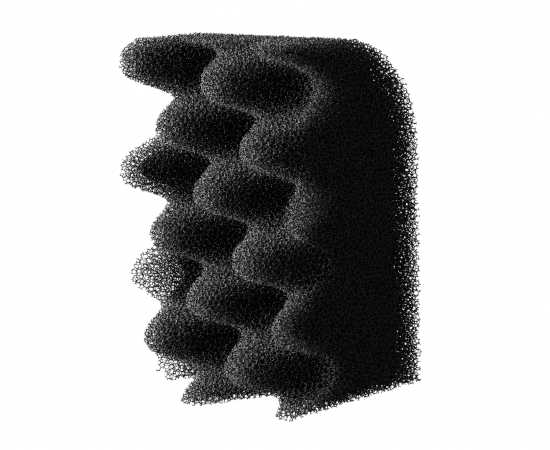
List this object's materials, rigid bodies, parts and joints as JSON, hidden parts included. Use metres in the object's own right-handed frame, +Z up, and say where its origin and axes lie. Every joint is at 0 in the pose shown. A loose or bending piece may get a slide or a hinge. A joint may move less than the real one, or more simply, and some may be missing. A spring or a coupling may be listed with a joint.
{
  "type": "sponge filter",
  "caption": "Free-standing block of coarse black open-cell filter foam with an egg-crate front, flat back, sides and base, and a rounded top-back edge.",
  "frame": {"origin": "centre of the bottom of the block's bounding box, on the flat base", "axes": "+Z up along the block's height, -Y out of the convoluted face, +Y out of the flat back, +X out of one flat side"},
  "size_m": [0.088, 0.09, 0.15],
  "materials": {
    "foam": "matte"
  },
  "bodies": {
    "root": {"foam_block": "foam"}
  },
  "joints": []
}
